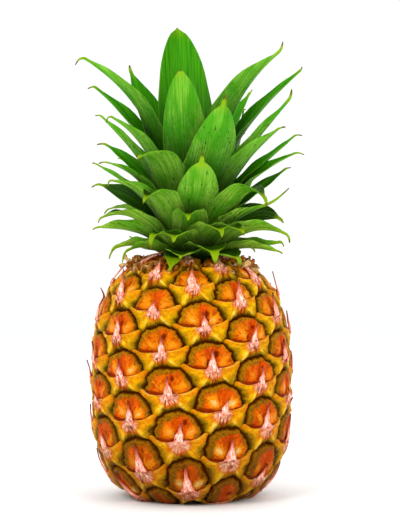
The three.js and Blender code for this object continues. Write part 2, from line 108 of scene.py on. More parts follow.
# The wilted whip at a leaf's end, where it shows: leaf number to (length, end elevation, width).
WHIPS = {
    0: (8, -60, 2), 1: (4, 85, 2.5), 2: (5, -30, 2), 3: (4, -10, 1.5), 4: (6, -80, 2), 5: (6, -10, 1.5),
    6: (3, 10, 1.5), 7: (5, -20, 1.5), 8: (6, -30, 1.5), 9: (5, -90, 2), 10: (4, -60, 1.5), 11: (4, -70, 2),
    12: (4, -30, 1.5), 13: (9, -75, 3.5), 14: (8, -85, 4), 16: (1, 80, 2), 17: (1.5, 60, 4),
    18: (7, 65, 3.5), 19: (6, 70, 3.5), 20: (4, -60, 2.5), 21: (5, -80, 3),
    22: (4, -60, 2.5), 23: (3, -70, 3), 24: (4, -60, 3.5), 25: (9, -85, 5), 26: (5, -75, 4),
    27: (8, -88, 6), 28: (3, -60, 3), 29: (7, -75, 4), 30: (2, -40, 2), 31: (7, 80, 3), 32: (3, 70, 2),
    33: (7, 85, 2.5), 34: (5, 0, 2), 35: (5, -10, 1.5), 36: (6, -20, 1.5), 37: (4, 10, 1.5),
    38: (18, 40, 3), 39: (3, -60, 2), 40: (6, -85, 2.5), 41: (4, -70, 2.5), 42: (3, -40, 1.5),
    45: (4, -70, 4),
}
SHORT_WHIP = (2, 0, 1.5)
YELLOWED_LEAF = 30
EXTRA_AGE = 4


def draw(index):
    """A repeatable draw between -1 and 1."""
    wave = math.sin(index * 12.9898 + 78.233) * 43758.5453
    return (wave - math.floor(wave)) * 2 - 1


def smooth(x, low, high):
    """0 below low, 1 above high, and a smooth step between them."""
    t = np.clip((x - low) / (high - low), 0, 1)
    return t * t * (3 - 2 * t)


def hump(x, low, rise, fall, high):
    """Smoothly up from low to rise, and down again from fall to high."""
    return smooth(x, low, rise) * (1 - smooth(x, fall, high))


def bell(x, middle, width):
    return np.exp(-(((x - middle) / width) ** 2))


def add_object(name, data):
    thing = bpy.data.objects.new(name, data)
    bpy.context.scene.collection.objects.link(thing)
    return thing


def between(ends, share):
    return ends[0] + (ends[1] - ends[0]) * share


def from_axis(azimuth, radius, aside, z):
    """Points out from the upright axis toward an azimuth, 0 at the front, and to its side."""
    turn = np.radians(azimuth)
    x = np.sin(turn) * radius + np.cos(turn) * aside
    y = np.sin(turn) * aside - np.cos(turn) * radius
    return np.stack([x, y, z + 0 * x], axis=-1)


def apart(a, b, shift):
    """Coordinates for a noise, the third of which sets one part apart from the others."""
    return np.stack([a, b + 0 * a, np.full(a.shape, shift)], axis=-1)


def chances(shape, value):
    """A draw, as a share from 0 to 1, for every point."""
    return np.full(shape, value * 0.5 + 0.5)


def around(front, back):
    """Columns of a blade's front, then those of its back the other way, as one ring."""
    return np.concatenate([front, back[:, ::-1]], axis=1)


# ---- camera and light, in metres ----

CAMERA_DISTANCE = 1.0
CAMERA_SIDE = 0.0052
CAMERA_HEIGHT = 0.1448
FOCAL_PIXELS = 1635.7
IMAGE_HEIGHT = 519
SENSOR = 36
GAMMA = 0.88
SKY_STRENGTH = 1.04
# Each area light's name, place, the place that it aims at, size and power in watts.
LIGHTS = (
    ("key", (-0.55, -0.98, 0.85), (0, 0, 0.14), 0.4, 5.3),
    ("fill", (0.7, -0.9, 0.7), (0, 0, 0.14), 0.45, 3.1),
    ("back", (0.2, 0.9, 0.8), (0, 0, 0.2), 0.8, 2),
)


def add_camera():
    data = bpy.data.cameras.new("camera")
    data.sensor_width = SENSOR
    data.lens = FOCAL_PIXELS / IMAGE_HEIGHT * SENSOR
    camera = add_object("camera", data)
    camera.location = (CAMERA_SIDE, -CAMERA_DISTANCE, CAMERA_HEIGHT)
    camera.rotation_euler = (math.pi / 2, 0, 0)
    bpy.context.scene.camera = camera


def add_area_light(name, place, aim, size, power):
    data = bpy.data.lights.new(name, "AREA")
    data.size = size
    data.energy = power
    light = add_object(name, data)
    light.location = place
    direction = np.array(aim, float) - np.array(place, float)
    across = math.hypot(direction[0], direction[1])
    tilt = math.atan2(across, -direction[2])
    light.rotation_euler = (tilt, 0, math.atan2(direction[1], direction[0]) - math.pi / 2)


def add_studio():
    scene = bpy.context.scene
    scene.view_settings.view_transform = "Standard"
    scene.view_settings.gamma = GAMMA
    world = bpy.data.worlds.new("studio")
    world.use_nodes = True
    background = world.node_tree.nodes["Background"]
    background.inputs["Color"].default_value = (1, 1, 1, 1)
    background.inputs["Strength"].default_value = SKY_STRENGTH
    scene.world = world
    for light in LIGHTS:
        add_area_light(*light)


# ---- node materials: colours are screen colours, 0 to 255 ----


def screen_to_linear(share):
    return share / 12.92 if share <= 0.04045 else ((share + 0.055) / 1.055) ** 2.4


class Look:
    """A material whose nodes are made by short calls; its surface is one Principled shader."""

    def __init__(self, name, roughness, gloss=0.15):
        self.material = bpy.data.materials.new(name)
        self.material.use_nodes = True
        self.tree = self.material.node_tree
        self.shader = self.tree.nodes["Principled BSDF"]
        self.shader.inputs["Roughness"].default_value = roughness
        self.shader.inputs["Specular IOR Level"].default_value = gloss
        self.colour = None

    def put(self, value, socket):
        if isinstance(value, bpy.types.NodeSocket):
            self.tree.links.new(value, socket)
        elif socket.type == "RGBA":
            socket.default_value = (*(screen_to_linear(share / 255) for share in value), 1)
        else:
            socket.default_value = value

    def node(self, kind, inputs, output=0, **settings):
        """An output of a new node, whose inputs are given by name or place."""
        node = self.tree.nodes.new("ShaderNode" + kind)
        for name, value in settings.items():
            setattr(node, name, value)
        for name, value in inputs.items():
            self.put(value, node.inputs[name])
        return node.outputs[output]

    def attribute(self, name, output="Fac"):
        return self.node("Attribute", {}, output, attribute_name=name)

    def attributes(self, *names):
        return [self.attribute(name) for name in names]

    def math(self, operation, a, b=0):
        return self.node("Math", {0: a, 1: b}, operation=operation)

    def times(self, a, b):
        return self.math("MULTIPLY", a, b)

    def total(self, value, *parts):
        """A value and the parts added to it, each a pair of a value and its weight."""
        for part, weight in parts:
            value = self.math("ADD", value, self.times(part, weight))
        return value

    def band(self, value, start, end):
        """0 to 1, smoothly, as value goes from start up or down to end."""
        inputs = {"Value": value, "From Min": start, "From Max": end}
        return self.node("MapRange", inputs, "Result", interpolation_type="SMOOTHSTEP")

    def mix(self, share, a, b):
        return self.node("Mix", {"Factor": share, "A": a, "B": b}, "Result", data_type="RGBA")

    def paint(self, under, share, strength, over):
        """A colour with another over it, as much as the share times the strength."""
        return self.mix(self.times(share, strength), under, over)

    def cover(self, share, strength, over):
        """Paints another colour over the look's own."""
        self.colour = self.paint(self.colour, share, strength, over)

    def scaled(self, vector, scale):
        return self.node("VectorMath", {0: vector, 1: scale}, operation="MULTIPLY")

    def noise(self, vector, scale=1, detail=3, roughness=0.55, distortion=0):
        inputs = {"Vector": vector, "Scale": scale, "Detail": detail, "Roughness": roughness,
                  "Distortion": distortion}
        return self.node("TexNoise", inputs, "Fac")

    def position(self):
        """Places on the object, in millimetres."""
        return self.scaled(self.node("TexCoord", {}, "Object"), (1 / MM,) * 3)

    def height(self):
        return self.node("SeparateXYZ", {0: self.position()}, "Z")

    def foot_shade(self):
        """1 where the fruit meets the floor, and 0 from 62 mm up."""
        return self.band(self.height(), 62, 8)

    def bump(self, height, distance):
        inputs = {"Strength": 1, "Distance": distance * MM, "Height": height}
        self.put(self.node("Bump", inputs, "Normal"), self.shader.inputs["Normal"])

    def finish(self):
        self.put(self.colour, self.shader.inputs["Base Color"])
        return self.material


def seam_look():
    look = Look("seam", roughness=0.9, gloss=0)
    fine = look.noise(look.position(), 0.9)
    look.colour = look.mix(fine, (58, 20, 0), (104, 44, 4))
    return look.finish()


def skin_noises(look, local, lump_scale, lump_detail):
    """Noise for sepals and bracts, broad, in lumps, fine and in streaks, and 1 low on the fruit."""
    return (
        look.noise(local, 0.16, detail=2),
        look.noise(local, lump_scale, lump_detail, distortion=0.8),
        look.noise(local, detail=5, roughness=0.7),
        look.noise(look.attribute("radial", "Vector"), detail=4, roughness=0.6),
        look.band(look.height(), 120, 10),
    )


def sepal_look():
    look = Look("sepal", roughness=0.36, gloss=0.05)
    local = look.attribute("local", "Vector")
    rim, over, lobe_highlight, chance = look.attributes("rim", "over", "lobe_highlight", "chance")
    broad, lumps, fine, streaks, low = skin_noises(look, local, 0.3, 2)
    warm = look.band(look.height(), 128, 60)
    # Golden near the top of the fruit, orange lower down.
    ruddy = look.total(look.times(warm, 0.6), (chance, 0.3), (look.band(broad, 0.35, 0.65), 0.3))
    look.colour = look.mix(ruddy, (218, 132, 0), (230, 98, 0))
    look.cover(look.band(lumps, 0.5, 0.36), 0.6, (176, 72, 0))
    look.cover(look.band(streaks, 0.45, 0.35), 0.55, (170, 66, 0))
    # Painted highlights, lighter orange then cream, on the domes of the two side sepals.
    light = look.total(lobe_highlight, (lumps, 0.9), (fine, 0.5), (streaks, 1.4))
    look.cover(look.band(light, 1.4, 1.95), 0.9, (252, 158, 20))
    look.cover(look.band(light, 1.95, 2.5), 0.85, (255, 216, 134))
    # The red flush above the papery tip.
    wash = look.total(look.attribute("flush"), (streaks, 0.9), (lumps, 0.5), (warm, 0.2))
    red = look.mix(look.band(fine, 0.4, 0.62), (206, 66, 2), (242, 104, 6))
    look.cover(look.band(wash, 1.05, 1.5), 0.85, red)
    # The olive ring and its short folds.
    olive = look.mix(look.band(fine, 0.35, 0.65), (130, 94, 0), (190, 144, 4))
    olive = look.paint(olive, low, 0.5, (88, 58, 0))
    reach = look.total(look.attribute("ring"), (lumps, -6.5), (fine, -2.2), (low, -1.5))
    look.cover(look.band(reach, -0.4, -3.2), 0.9, olive)
    folds = look.noise(look.attribute("folds", "Vector"), detail=2)
    folds = look.times(look.band(folds, 0.48, 0.38), look.band(reach, -0.8, -2.2))
    look.cover(folds, 0.4, (96, 46, 0))
    # Dark dimples, specks, and the shade tucked under the bract's lip.
    dark = look.total(look.attribute("spot"), (streaks, 0.9), (fine, 0.9))
    look.cover(look.band(dark, 1.2, 1.75), 0.85, (112, 14, 0))
    specks = look.times(look.band(fine, 0.4, 0.33), look.band(streaks, 0.55, 0.4))
    look.cover(specks, 0.7, (110, 40, 0))
    tucked = look.band(look.total(over, (lumps, 1.6)), 1.9, 0.5)
    look.cover(tucked, 0.75, (120, 14, 0))
    # The margin: a pale line, then brown, then the dark seam.
    edge = look.total(rim, (fine, -2.2), (lumps, -1))
    pale = look.times(look.band(edge, -0.6, -0.2), look.band(edge, 0.7, 0.1))
    look.cover(pale, 0.2, (196, 142, 20))
    look.cover(look.band(edge, -0.4, -1.2), 0.85, (100, 52, 0))
    look.colour = look.mix(look.band(edge, -0.95, -1.65), look.colour, (58, 24, 0))
    look.cover(look.foot_shade(), 0.38, (88, 36, 4))
    look.bump(look.total(fine, (lumps, 2)), 1.1)
    return look.finish()


def bract_look():
    look = Look("bract", roughness=0.4, gloss=0.05)
    local = look.attribute("local", "Vector")
    rim, near, below, aside, arm = look.attributes("rim", "near", "below", "aside", "arm")
    broad, lumps, fine, streaks, low = skin_noises(look, local, 0.34, 3)
    tone = look.band(lumps, 0.35, 0.62)
    ripe = look.mix(tone, (220, 142, 2), (244, 180, 4))
    greener = look.mix(tone, (212, 154, 2), (240, 190, 4))
    look.colour = look.mix(look.band(look.height(), 60, 125), ripe, greener)
    look.cover(look.band(streaks, 0.5, 0.64), 0.5, (206, 104, 0))
    # Lighter yellow, then painted highlights, along the ridges that run out along the bract's arms.
    light = look.total(arm, (lumps, 0.9), (streaks, -1), (fine, 0.6))
    look.cover(look.band(light, 0.7, 1.25), 0.85, (252, 200, 10))
    look.cover(look.band(light, 1.05, 1.5), 0.8, (255, 228, 126))
    # Green skin between the arms, then painted shade toward the seams, more of it low on the fruit.
    green = look.mix(look.band(fine, 0.35, 0.65), (118, 92, 0), (190, 150, 4))
    reach = look.total(look.times(lumps, 5), (fine, 2), (broad, 3), (rim, -0.85),
                       (arm, -2.6), (low, 0.8), (look.band(below, 0, 5), 2.1))
    look.cover(look.band(reach, 2.2, 4.8), 0.85, green)
    # Painted shade along the seams.
    seam_shade = look.mix(low, (74, 56, 0), (76, 42, 0))
    look.cover(look.band(reach, 4.6, 6.8), 0.8, seam_shade)
    lip = look.total(below, (streaks, 3))
    look.cover(look.band(lip, 2.6, 1), 0.5, (226, 122, 6))
    # Orange, then pink, around the root of the papery tip.
    flush = look.total(near, (streaks, 6), (low, -2.2))
    look.cover(look.band(flush, 8.6, 6), 0.8, (222, 92, 14))
    pink = look.mix(look.band(streaks, 0.42, 0.64), (252, 196, 160), (226, 104, 60))
    pink = look.paint(pink, look.band(fine, 0.5, 0.62), 0.6, (255, 222, 198))
    look.cover(look.band(flush, 6.6, 5.2), 0.92, pink)
    # Red-brown cracks below the tip, and specks.
    line = look.noise(look.scaled(local, (1, 0.2, 1)), 0.6, detail=3, distortion=0.9)
    crack = look.times(look.band(line, 0.5, 0.44), look.band(aside, 4.5, 2))
    crack = look.times(crack, look.band(below, 1, 3))
    crack = look.times(crack, look.band(look.total(below, (fine, 4)), 12, 8))
    look.cover(crack, 0.8, (122, 34, 0))
    specks = look.times(look.band(fine, 0.39, 0.32), look.band(streaks, 0.5, 0.38))
    look.cover(specks, 0.8, (118, 36, 0))
    edge = look.total(rim, (fine, -2), (lumps, -1))
    look.cover(look.band(edge, -0.1, -1.3), 0.8, (98, 64, 0))
    look.colour = look.mix(look.band(edge, -0.9, -1.6), look.colour, (62, 28, 0))
    look.cover(look.foot_shade(), 0.36, (100, 52, 14))
    look.bump(look.math("ADD", fine, look.math("ADD", streaks, lumps)), 1)
    return look.finish()


def paper_look():
    look = Look("papery_tip", roughness=0.6, gloss=0.1)
    local = look.attribute("local", "Vector")
    along, across, chance = look.attributes("along", "across", "chance")
    streaks = look.noise(look.scaled(local, (1.3, 0.35, 1)), 0.9, detail=4, distortion=0.5)
    fine = look.noise(local, 1.4, detail=4, roughness=0.7)
    look.colour = look.mix(look.band(streaks, 0.4, 0.6), (230, 124, 92), (254, 216, 198))
    look.cover(look.band(fine, 0.44, 0.34), 0.4, (208, 84, 50))
    look.cover(look.band(fine, 0.52, 0.62), 0.75, (255, 236, 226))
    look.cover(look.band(look.math("ABSOLUTE", across), 0.5, 1), 0.6, (214, 88, 44))
    look.cover(look.band(along, 0.22, 0), 0.5, (226, 112, 66))
    # Redder, then dark brown, toward the point.
    reach = look.total(along, (streaks, 0.4), (chance, 0.2))
    look.cover(look.band(reach, 0.75, 1.1), 0.8, (176, 74, 40))
    look.cover(look.band(reach, 1, 1.3), 0.85, (92, 30, 8))
    look.bump(streaks, 0.6)
    return look.finish()


def leaf_look():
    look = Look("leaf", roughness=0.4, gloss=0.08)
    grain = look.attribute("local", "Vector")
    side, along, across, age, chance = look.attributes("side", "along", "across", "age", "chance")
    lines = look.noise(look.scaled(grain, (1.6, 0.03, 1)), detail=3)
    scurf = look.noise(look.scaled(grain, (1.1, 0.16, 1)), detail=5, roughness=0.65)
    broad = look.noise(look.scaled(grain, (0.1, 0.035, 1)), detail=2)
    upper_lines = look.band(lines, 0.35, 0.65)
    # Upper sides: bright green on young leaves; on older, lower leaves painted near black-green as painted
    # shade between the leaves.
    upper_young = look.mix(upper_lines, (50, 134, 2), (84, 168, 8))
    upper_old_shaded = look.mix(upper_lines, (24, 50, 2), (54, 94, 6))
    upper = look.mix(look.band(age, 0, 0.55), upper_young, upper_old_shaded)
    under_lines = look.band(lines, 0.3, 0.7)
    under_young = look.mix(under_lines, (82, 150, 12), (134, 194, 66))
    under_old = look.mix(under_lines, (108, 160, 14), (178, 216, 84))
    under = look.mix(age, under_young, under_old)
    vivid = look.mix(age, (62, 152, 4), (86, 160, 6))
    under = look.paint(under, look.band(broad, 0.42, 0.62), 0.75, vivid)
    # The pale bloom of the underside, rubbed off in dashes and scratches.
    pale = look.times(look.band(scurf, 0.5, 0.72), look.band(along, 0.95, 0.6))
    under = look.paint(under, pale, 0.55, (158, 190, 112))
    dash = look.noise(look.scaled(grain, (1.5, 0.34, 1)), detail=4, roughness=0.7)
    dash = look.times(look.band(dash, 0.53, 0.62), look.band(along, 0.96, 0.7))
    under = look.paint(under, dash, 0.4, (24, 74, 2))
    scratch = look.noise(look.scaled(grain, (0.7, 0.22, 1)), detail=2, distortion=0.6)
    scratch = look.times(look.band(scratch, 0.63, 0.69), look.band(chance, 0.2, 0.6))
    under = look.paint(under, scratch, 0.8, (16, 44, 2))
    look.colour = look.mix(side, upper, under)
    # Painted shade toward the root, and down most of the length of young leaves; lighter at the margins.
    base = look.band(along, 0.68, 0.12)
    look.cover(base, 0.78, look.mix(age, (24, 48, 2), (34, 64, 2)))
    young_leaf_shade = look.times(look.band(along, 0.95, 0.3), look.band(age, 0.6, 0))
    look.cover(young_leaf_shade, 0.68, (20, 54, 0))
    look.cover(look.band(look.math("ABSOLUTE", across), 0.93, 1), 0.35, (110, 158, 40))
    # Yellow-green, then dead brown, at the tip.
    reach = look.total(along, (scurf, 0.06), (age, 0.06))
    look.cover(look.band(reach, 0.97, 1.07), 0.8, (146, 176, 14))
    dead = look.total(along, (scurf, 0.04), (chance, 0.03), (age, -0.03))
    look.cover(look.band(dead, 1.075, 1.11), 0.8, (92, 66, 22))
    look.bump(look.total(lines, (scurf, 0.5)), 0.28)
    return look.finish()


def dry_look():
    look = Look("dry_bract", roughness=0.65, gloss=0.05)
    local = look.attribute("local", "Vector")
    chance, along = look.attributes("chance", "along")
    streaks = look.noise(look.scaled(local, (1.3, 0.3, 1)), detail=4)
    patches = look.noise(local, 0.35, detail=2)
    tone = look.band(streaks, 0.35, 0.65)
    brown = look.mix(tone, (104, 44, 10), (196, 122, 44))
    brown = look.paint(brown, look.band(patches, 0.5, 0.7), 0.8, (210, 148, 40))
    pale = look.mix(tone, (178, 124, 60), (240, 208, 150))
    look.colour = look.mix(look.band(chance, 0.64, 0.72), brown, pale)
    tip = look.band(look.total(along, (streaks, 0.4)), 0.9, 1.3)
    look.cover(tip, 0.5, (176, 128, 78))
    # Painted shade at the root of each scale.
    look.cover(look.band(along, 0.4, 0), 0.6, (36, 14, 2))
    look.bump(streaks, 0.6)
    return look.finish()


def stalk_look():
    look = Look("cut_stalk", roughness=0.8)
    spots = look.noise(look.position(), 1.6, detail=4)
    broad = look.noise(look.position(), 0.25)
    look.colour = look.mix(look.band(spots, 0.4, 0.62), (132, 104, 52), (206, 184, 124))
    look.cover(look.band(broad, 0.45, 0.7), 0.5, (110, 80, 40))
    look.bump(spots, 0.8)
    return look.finish()


def floor_look():
    look = Look("floor", roughness=0.9, gloss=0)
    fine = look.noise(look.position(), 0.01)
    look.colour = look.mix(fine, (248.15, 251.61, 252.74), (249.31, 252.74, 253.88))
    return look.finish()


# ---- pieces as meshes ----


class Patches:
    """Vertices, faces and named values per vertex, gathered patch by patch into one piece."""

    def __init__(self):
        self.points = []
        self.faces = []
        self.values = {}
        self.count = 0

    def add_grid(self, points, values, closed=False):
        """A grid of rows by columns of points in millimetres; closed joins its last column."""
        rows, columns = points.shape[:2]
        index = np.arange(rows * columns).reshape(rows, columns) + self.count
        after = np.roll(index, -1, axis=1) if closed else index[:, 1:]
        here = index if closed else index[:, :-1]
        quads = np.stack([here[:-1], after[:-1], after[1:], here[1:]], axis=-1)
        self.points.append(points.reshape(-1, 3))
        self.faces.append(quads.reshape(-1, 4))
        for name, value in values.items():
            size = value.shape[-1] if value.ndim == 3 else 1
            self.values.setdefault(name, []).append(value.reshape(-1, size))
        self.count += rows * columns

    def piece(self, name, look, slot, nodes=()):
        mesh = bpy.data.meshes.new(name)
        points = np.concatenate(self.points) * MM
        faces = np.concatenate(self.faces)
        mesh.from_pydata(points.tolist(), [], faces.tolist())
        for key, parts in self.values.items():
            value = np.concatenate(parts).astype(np.float32)
            kind, field = ("FLOAT_VECTOR", "vector") if value.shape[1] == 3 else ("FLOAT", "value")
            layer = mesh.attributes.new(key, kind, "POINT")
            layer.data.foreach_set(field, value.ravel())
        mesh.shade_smooth()
        mesh.materials.append(look)
        piece = add_object(name, mesh)
        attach(piece, "root")
        if nodes:
            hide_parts(*nodes)


# ---- the fruit's surface ----

LEAST_Z = 0.02


def outline_table():
    """Length along the outline, radius, z and outward direction, from the base to the top."""
    steps = np.linspace(0, math.pi / 2, 400)
    low_r = BELLY_RADIUS * np.cos(steps) ** (2 / BOTTOM_POWER)
    low_z = BELLY_Z - BOTTOM_HEIGHT * np.sin(steps) ** (2 / BOTTOM_POWER)
    high_r = BELLY_RADIUS * np.cos(steps) ** (2 / TOP_POWER)
    high_z = BELLY_Z + TOP_HEIGHT * np.sin(steps) ** (2 / TOP_POWER)
    standing = low_z > 0
    flat_r = np.linspace(low_r[standing][-1], STALK_RADIUS + 0.5, 60)[1:]
    radius = np.concatenate([flat_r[::-1], low_r[standing][::-1], high_r[1:]])
    z = np.concatenate([np.zeros(len(flat_r)), low_z[standing][::-1], high_z[1:]])
    length = np.concatenate([[0], np.cumsum(np.hypot(np.diff(radius), np.diff(z)))])
    length -= np.interp(BELLY_Z, z, length)
    outward = np.gradient(z, length)
    upward = -np.gradient(radius, length)
    return length, radius, z, outward, upward


OUTLINE = outline_table()


def outline_at(length):
    return [np.interp(length, OUTLINE[0], column) for column in OUTLINE[1:]]


def on_fruit(azimuth, length, height):
    """Points over the fruit, none of them below the surface that it stands on."""
    radius, z, outward, upward = outline_at(length)
    z = np.maximum(z + upward * height, LEAST_Z)
    return from_axis(azimuth, radius + outward * height, 0, z)


def eye_length(index):
    growth = BASE_CLIMB_GROWTH * index * index if index < 0 else 0
    return START_LENGTH + CLIMB * index - growth


def eye_azimuth(index):
    return START_AZIMUTH + DIVERGENCE * index


def wrap(degrees):
    return degrees - 360 * np.round(degrees / 360)


def corner(index, side, weights):
    """Where eye index meets its neighbours side and 13 places up: (azimuth, length)."""
    azimuth = eye_azimuth(index)
    length = 0
    for step, weight in zip((0, side, 13), weights):
        azimuth += wrap(DIVERGENCE * step) * weight
        length += eye_length(index + step) * weight
    return np.array([azimuth, length])


def offset(index, point):
    """A point of the skin as seen from an eye's own place: (degrees, millimetres)."""
    return np.array([wrap(point[0] - eye_azimuth(index)), point[1] - eye_length(index)])


# Seam points between two corners of an arch, as shares of the way to each corner.
RIGHT_SHARES = ((0.72, 0.17), (0.53, 0.49), (0.28, 0.78))
TOP_SHARES = ((0.89, 0.23), (0.66, 0.52), (0.33, 0.81))
LEFT_SHARES = ((0.71, 0.26), (0.39, 0.55), (0.13, 0.75))


def arch(index):
    """The seam over an eye, 13 points (azimuth, length) from its right wing to its left wing."""
    home = np.array([eye_azimuth(index), eye_length(index)])
    corners = [
        offset(index, corner(index - 5, 5, UP_LEFT_WEIGHTS)),
        offset(index, corner(index, 8, UP_RIGHT_WEIGHTS)),
        offset(index, corner(index, 5, UP_LEFT_WEIGHTS)),
        offset(index, corner(index - 8, 8, UP_RIGHT_WEIGHTS)),
    ]
    points = [corners[0]]
    edges = (RIGHT_SHARES, TOP_SHARES, LEFT_SHARES)
    for shares, start, end in zip(edges, corners, corners[1:]):
        points += [start * one + end * two for one, two in shares]
        points.append(end)
    return [home + point for point in points]


def lower_border(index):
    """The seams under a bract, 13 offsets from its left wing to its right wing."""
    points = arch(index - 8)[4::-1] + arch(index - 13)[7:3:-1] + arch(index - 5)[11:7:-1]
    return np.array([offset(index, point) for point in points])


def upper_border(index):
    """The seam over the sepals, its ends drawn in under the bract's wings."""
    points = [offset(index, point) for point in arch(index)]
    points[0] = points[0] * 0.76 - points[4] * 0.08
    points[-1] = points[-1] * 0.86 - points[8] * 0.03
    return np.array(points)


def wandering(line, azimuth, length):
    """A seam's line of offsets, drawn off its smooth course by up to a millimetre or so."""
    turn = np.radians(line[..., 0] + azimuth)
    along = line[..., 1] + length
    aside = 0.4 * np.sin(31 * turn + 0.9 * along) + 0.3 * np.sin(83 * turn - 1.7 * along + 2)
    up = 0.4 * np.sin(27 * turn - 0.8 * along + 1) + 0.3 * np.sin(71 * turn + 2.1 * along + 4)
    radius = outline_at(along)[0]
    return line + np.stack([np.degrees(aside / radius), up], axis=-1)


def rounded(points, share):
    """A smooth curve through the points, at shares 0 to 1 of their count."""
    last = len(points) - 1
    place = share * last
    low = np.minimum(place.astype(int), last - 1)
    t = (place - low)[:, None]
    before = points[np.maximum(low - 1, 0)]
    start = points[low]
    end = points[low + 1]
    after = points[np.minimum(low + 2, last)]
    return 0.5 * (2 * start + (end - before) * t
                  + (2 * before - 5 * start + 4 * end - after) * t ** 2
                  + (3 * start - before - 3 * end + after) * t ** 3)


RADIAL = np.array([0, 0.06, 0.13, 0.2, 0.28, 0.36, 0.44, 0.52, 0.6, 0.67, 0.73, 0.78, 0.82,
                   0.855, 0.885, 0.91, 0.93, 0.95, 0.97, 0.985, 1])
SPOKES = np.linspace(0, 1, 45)
RHO = RADIAL[:, None] + 0 * SPOKES[None]
ANGLE = 0 * RADIAL[:, None] + SPOKES[None]
SEPAL_CENTRE = (-1.3, -0.6)
LIP_CENTRE = (-0.8, 0.8)
TIP_SIDE = -0.5

# Heights over the skin by the distance inside the rim: (distances, heights).
SEPAL_PUFF = ((0, 0.55, 0.9, 1.3, 1.9, 3.0, 4.4, 6, 9, 13),
              (-1.9, -1.5, 0.1, 0.8, 1.15, 1.35, 1.45, 1.6, 1.3, 0.6))
BRACT_PUFF = ((0, 0.45, 0.8, 1.2, 2, 3.2, 5, 8, 12),
              (-1.9, -1.5, -0.3, 0.35, 0.8, 1.15, 1.5, 1.9, 2.1))
TOOTH = 0.32
VALLEY_DEPTH = 1.5
CREASE_DEPTH = 0.5
CREASE_PLACES = (0.22, 0.74)
DIMPLE_DEPTH = 0.9
SEPAL_LUMPS = 0.16
LEFT_WING_RISE = 5
RIGHT_WING_RISE = 3.6
WING_SPAN = 0.07
ARM_PLACES = (0, 0.33, 0.66, 1)
RIDGE_PLACES = (0.02, 0.33, 0.66, 0.98)
RIDGE_HEIGHT = 0.8
WRINKLE_HEIGHT = 0.09
BRACT_LUMPS = 0.1
LIP_DROP = 2.2
SEAM_DEPTH = -1.35


class Eye:
    """One eye's lattice place and the patches of skin around it, in offsets and millimetres."""

    def __init__(self, index):
        self.index = index
        self.azimuth = eye_azimuth(index)
        self.length = eye_length(index)
        self.radius = outline_at(self.length)[0]
        self.size = (eye_length(index + 13) - eye_length(index - 13)) / 50

    def draw(self, kind):
        return draw(self.index * 1.37 + kind * 61)

    def fan(self, border, centre):
        """Rings by spokes from a centre (in millimetres) to a border of offsets."""
        scale = math.degrees(1 / self.radius)
        middle = np.array([centre[0] * scale, centre[1]])
        rim = wandering(rounded(border, SPOKES), self.azimuth, self.length)
        return middle + RADIAL[:, None, None] * (rim - middle)[None]

    def flat(self, grid):
        """Offsets as millimetres across and up."""
        return np.radians(grid[..., 0]) * self.radius, grid[..., 1]

    def rim_distance(self, grid, border):
        """Millimetres from each place of a grid to the border."""
        line = wandering(rounded(border, np.linspace(0, 1, 97)), self.azimuth, self.length)
        x, y = self.flat(grid)
        bx, by = self.flat(line)
        away = np.hypot(x[..., None] - bx, y[..., None] - by)
        return away.min(axis=-1)

    def place(self, grid, height):
        return on_fruit(self.azimuth + grid[..., 0], self.length + grid[..., 1], height)

    def apart(self, a, b, spread):
        return apart(a, b, self.draw(1) * spread)


def ripple(across, up, eye, kind):
    """Gentle lumps of a few millimetres, different on each eye."""
    turn = 9 * eye.draw(kind)
    lumps = np.sin(across * 0.62 + turn) * np.sin(up * 0.55 + 7 * eye.draw(kind + 1))
    return lumps + 0.5 * np.sin(across * 1.5 + up * 0.9 + turn)


def add_sepals(patches, eye):
    border = upper_border(eye.index)
    grid = eye.fan(border, SEPAL_CENTRE)
    across, up = eye.flat(grid)
    teeth = TOOTH * np.sin(ANGLE * 62 + 5 * eye.draw(2) + 2 * np.sin(ANGLE * 19 + eye.index))
    rim = eye.rim_distance(grid, border) + teeth * hump(RHO, 0.75, 0.9, 0.97, 1)
    valley = bell(ANGLE, 0.47 + 0.07 * eye.draw(3), 0.045) * hump(RHO, 0.25, 0.5, 0.72, 0.88)
    creases = 0
    for k, place in enumerate(CREASE_PLACES):
        line = bell(ANGLE, place + 0.05 * eye.draw(4 + k), 0.03)
        creases = creases + line * hump(RHO, 0.5, 0.68, 0.86, 0.94)
    lean = 2.6 * eye.draw(23) * np.maximum(up, 0) / 12
    flush = 0.9 * bell(across, TIP_SIDE + lean, 2.6) * smooth(up, 0, 3) + 0.36 * eye.draw(14)
    # Where the painted highlights fall on the two side sepals' domes.
    lobe_highlight = painted_lobe_highlight(across + 5.8 + eye.draw(15), up - 4.8 * eye.size, -1)
    lobe_highlight = lobe_highlight + painted_lobe_highlight(across - 5.2 + eye.draw(16), up - 4.6 * eye.size, 1)
    spot = dimple(eye, across, up, lean)
    height = np.interp(rim, *SEPAL_PUFF) - VALLEY_DEPTH * valley - CREASE_DEPTH * creases
    height = height + SEPAL_LUMPS * ripple(across, up, eye, 6) - DIMPLE_DEPTH * spot
    height = height - 0.5 * bell(up, 0.5, 1.3) * (RHO < 0.9)
    values = {
        "rim": rim,
        "ring": rim + 1.6 * smooth(across, -6, 5) - 0.6,
        "over": up - lip_height(across),
        "flush": flush,
        "spot": spot,
        "lobe_highlight": lobe_highlight * (0.8 + 0.35 * eye.draw(17)),
        "chance": chances(RHO.shape, eye.draw(8)),
        "local": eye.apart(across, up, 50),
        "radial": eye.apart(ANGLE * 20, np.hypot(across, up) * 0.12, 40),
        "folds": eye.apart(ANGLE * 42, rim * 0.35, 30),
    }
    patches.add_grid(eye.place(grid, height), values)


